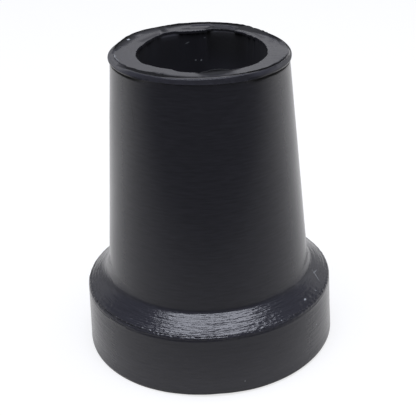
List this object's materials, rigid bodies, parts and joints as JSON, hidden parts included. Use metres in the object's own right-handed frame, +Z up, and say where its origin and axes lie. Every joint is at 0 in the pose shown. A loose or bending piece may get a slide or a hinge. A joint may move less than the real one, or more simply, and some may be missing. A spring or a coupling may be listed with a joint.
{
  "type": "rubber cane tip",
  "caption": "Slip-on rubber tip for a cane: tapered sleeve with a beaded rim, a blind socket and a wide round foot.",
  "frame": {"origin": "centre of the foot's underside, on the ground", "axes": "+Z up along the socket's axis, out of its mouth"},
  "size_m": [0.0392, 0.0392, 0.0474],
  "materials": {
    "rubber": "satin moulded black rubber"
  },
  "bodies": {
    "root": {"cane_tip": "rubber"}
  },
  "joints": []
}
